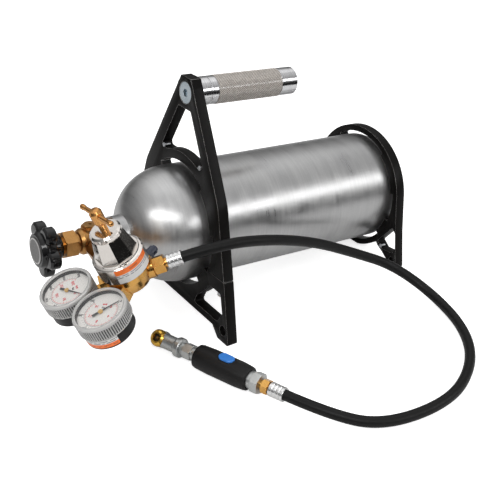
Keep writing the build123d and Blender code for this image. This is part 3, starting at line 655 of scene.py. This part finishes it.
def scale_marks(numbers, long_from, short_from, to, long_wide, short_wide, text_size, text_r):
    """Ticks from the first number round to the last, four short ones between two numbers."""
    marks = []
    count = (len(numbers) - 1) * TICKS
    for i in range(count + 1):
        deg = SCALE_START - SCALE_SWEEP * i / count
        major = i % TICKS == 0
        marks.append(tick(long_from if major else short_from, to, long_wide if major else short_wide, deg))
        if major:
            marks.append(words(numbers[i // TICKS], text_size, text_r, deg))
    return marks


def dial_print(side, outer, inner):
    """Numbers, ticks and arcs in black and red, a hair above the dial."""
    black = scale_marks(outer, 17.6, 18.6, 20.0, 0.75, 0.34, 3.3, 22.0)
    red = scale_marks(inner, 14.2, 15.0, 16.4, 0.6, 0.3, 4.3, 11.0)
    black.append(arc(17.6, 0.3, 47, 313))
    red.append(arc(16.5, 0.34, 47, 313))
    black.append(words("PSI", 3.0, 6.4, 0))
    red.append(words("BAR", 2.8, 10.4, 0))
    for parts, paint, tag in ((black, BLACK, "black"), (red, RED, "red")):
        o = joined(parts)
        edit("FACE")
        bpy.ops.mesh.select_all(action="SELECT")
        bpy.ops.mesh.normals_make_consistent(inside=False)
        bpy.ops.object.mode_set(mode="OBJECT")
        up = sum(1 if f.normal.z > 0 else -1 for f in o.data.polygons)
        if up < 0:
            o.data.flip_normals()
        place_in(o, GAUGE[side] @ Matrix.Translation((0, 0, 0.01285)))
        dress(o, f"{side}_dial_{tag}_print", "frame", "dial_white", paint)


for side in GAUGE:
    gauge_cover(side)
dial_print("left", ["0", "500", "1000", "1500", "2000", "2500", "3000"], ["0", "50", "100", "150", "200"])
dial_print("right", ["0", "50", "100", "150", "200", "250"], ["0", "4", "8", "12", "16"])


# ------------------------------------------------------------------ labels
def wrapped_label(name, where, r, z0, z1, a0, a1, finish, slot):
    """Paper wrapped on a round: a tube with all but the strip removed, then given its thickness."""
    clear_hands()
    bpy.ops.mesh.primitive_cylinder_add(vertices=180, radius=r * MM, depth=(z1 - z0) * MM, end_fill_type="NOTHING",
                                        location=(0, 0, (z0 + z1) / 2 * MM))
    bpy.ops.object.transform_apply(location=True, rotation=True, scale=True)
    o = cut_to_sector(a0, a1)
    m = o.modifiers.new("paper", "SOLIDIFY")
    m.thickness, m.offset = 0.08 * MM, 1.0
    bpy.ops.object.modifier_apply(modifier=m.name)
    place_in(o, where)
    dress(o, name, "frame", slot, finish)
    ease(o, 0)


wrapped_label("bonnet_label", REG, 26.63, 13.6, 30.6, -128, -39,
              printed_label("bonnet_label_print", REG, 13.6, 30.6, False, 0.36, 5), "nickel")
wrapped_label("case_label", GAUGE["right"], 26.03, -9.5, 1.9, 126, 228,
              printed_label("case_label_print", GAUGE["right"], -9.5, 1.9, True, 0.42, 3), "gauge_black")


# ------------------------------------------------------------------ turned and moulded pieces
def eased_copy(node, body, slot, finish, width, segments):
    """Stands in for a CAD piece whose sharp edges the real one has rounded."""
    o = taken_over(node, node + "_eased")
    dress(o, node + "_eased", body, slot, finish, replaces=(node,))
    return ease(o, width, segments, 34, smooth=34)


eased_copy("handwheel", "wheel", "wheel_black", WHEEL, 1.6, 4)
eased_copy("coupler_body", "frame", "coupler_black", COUPLER, 0.8, 3)

# ------------------------------------------------------------------ finishes on the pieces that stay as they are
WORN_AS = {
    SHELL: ["cylinder_shell"], GRIP: ["handle"], BLUE_ZINC: ["handle_screw"],
    ZINC: ["clamp_screws", "clamp_dowels", "face_screws", "left_gauge_movement", "right_gauge_movement",
           "diaphragm_plate"],
    BODY_BRASS: ["valve_body", "valve_bonnet", "inlet_nut", "inlet_nipple", "burst_disc_plug"],
    BRASS: ["regulator_body", "outlet_fitting", "left_gauge_stem", "right_gauge_stem", "seat_cap", "poppet",
            "packing_gland", "hose_end_fitting", "spring_button", "valve_plug", "chuck_poppet", "valve_spindle"],
    BAR_BRASS: ["t_bar", "adjusting_screw"], BALL_BRASS: ["chuck_foot"],
    NICKEL: ["regulator_bonnet"], CAST: ["chuck_body", "adapter", "plug_nipple"],
    FERRULE: ["ferrule_1", "ferrule_2"], SPRING: ["adjusting_spring", "poppet_spring", "chuck_spring"],
    CAP: ["handwheel_cap"], NAVY: ["relief_valve"], BLUE: ["coupler_button"],
    SEAL: ["neck_o_ring", "outlet_washer", "diaphragm", "chuck_seal"],
    CASE: ["left_gauge_case", "right_gauge_case"], DIAL: ["left_gauge_dial", "right_gauge_dial"],
    pointer_paint("left"): ["left_gauge_pointer"], pointer_paint("right"): ["right_gauge_pointer"],
}
for finish, nodes in WORN_AS.items():
    for node in nodes:
        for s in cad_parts[node].material_slots:
            s.material = finish.mat

# ------------------------------------------------------------------ floor and light
clear_hands()
bpy.ops.mesh.primitive_plane_add(size=1, location=(0, 0, 0))
floor = bpy.context.object
floor.name = "floor"
floor.data.transform(Matrix.Translation((0.9, 1.84, -0.0003)) @ Matrix.Diagonal((5.4, 4.8, 1, 1)))
pale = Finish("pale_floor", Roughness=0.9, Specular_IOR_Level=0.0, Emission_Strength=0.72)
pale.colour(pale.mix((0.83, 0.83, 0.83), (0.86, 0.86, 0.86), pale.noise(pale.at(), 3, 2)))
seen = pale.node("ShaderNodeLightPath", {}, {}).outputs["Is Camera Ray"]
pale.feed("Emission Color", pale.mix((0, 0, 0), (1, 1, 1), seen))
floor.data.materials.append(pale.mat)


def softbox(name, at, size, power):
    """A lamp panel of that size, in metres, turned to the middle of the object."""
    lamp = bpy.data.lights.new(name, "AREA")
    lamp.shape, lamp.size, lamp.size_y = "RECTANGLE", *size
    lamp.energy = power
    at = Vector(at)
    turned = (at - MIDDLE).to_track_quat("Z", "Y").to_matrix().to_4x4()
    brought_in(name, lamp).matrix_world = Matrix.Translation(at) @ turned


MIDDLE = Vector((0.08, -0.1, 0.1))
softbox("front_box", (0.95, -1.45, 0.75), (1.9, 0.34), 8.5)
softbox("left_box", (-0.95, -1.0, 1.27), (2.0, 0.26), 12)
softbox("spark_box", (-1.6, -0.9, 1.3), (0.12, 0.22), 1.0)
softbox("top_box", (0.5, 0.8, 2.1), (3.0, 2.2), 7.5)

sky = bpy.data.worlds.new("room")
bpy.context.scene.world = sky
sky.use_nodes = True
nodes, links = sky.node_tree.nodes, sky.node_tree.links
way = nodes.new("ShaderNodeTexCoord")
parts = nodes.new("ShaderNodeSeparateXYZ")
links.new(way.outputs["Generated"], parts.inputs[0])
walls = nodes.new("ShaderNodeValToRGB")
walls.color_ramp.elements.new(0.54)
walls.color_ramp.elements.new(0.72)
for stop, (height, grey) in zip(walls.color_ramp.elements, ((0.47, 0.012), (0.54, 0.12), (0.72, 0.34), (1.0, 1.0))):
    stop.position, stop.color = height, (grey, grey, grey, 1)
rise = nodes.new("ShaderNodeMapRange")
links.new(parts.outputs["Z"], rise.inputs[0])
rise.inputs[1].default_value = -1
links.new(rise.outputs[0], walls.inputs[0])
show = nodes.new("ShaderNodeMix")
show.data_type = "RGBA"
show.inputs[7].default_value = (1, 1, 1, 1)
links.new(nodes.new("ShaderNodeLightPath").outputs["Is Camera Ray"], show.inputs[0])
links.new(walls.outputs[0], show.inputs[6])
links.new(show.outputs[2], nodes["Background"].inputs[0])
nodes["Background"].inputs[1].default_value = 1.0
bpy.context.scene.view_settings.view_transform = "Standard"
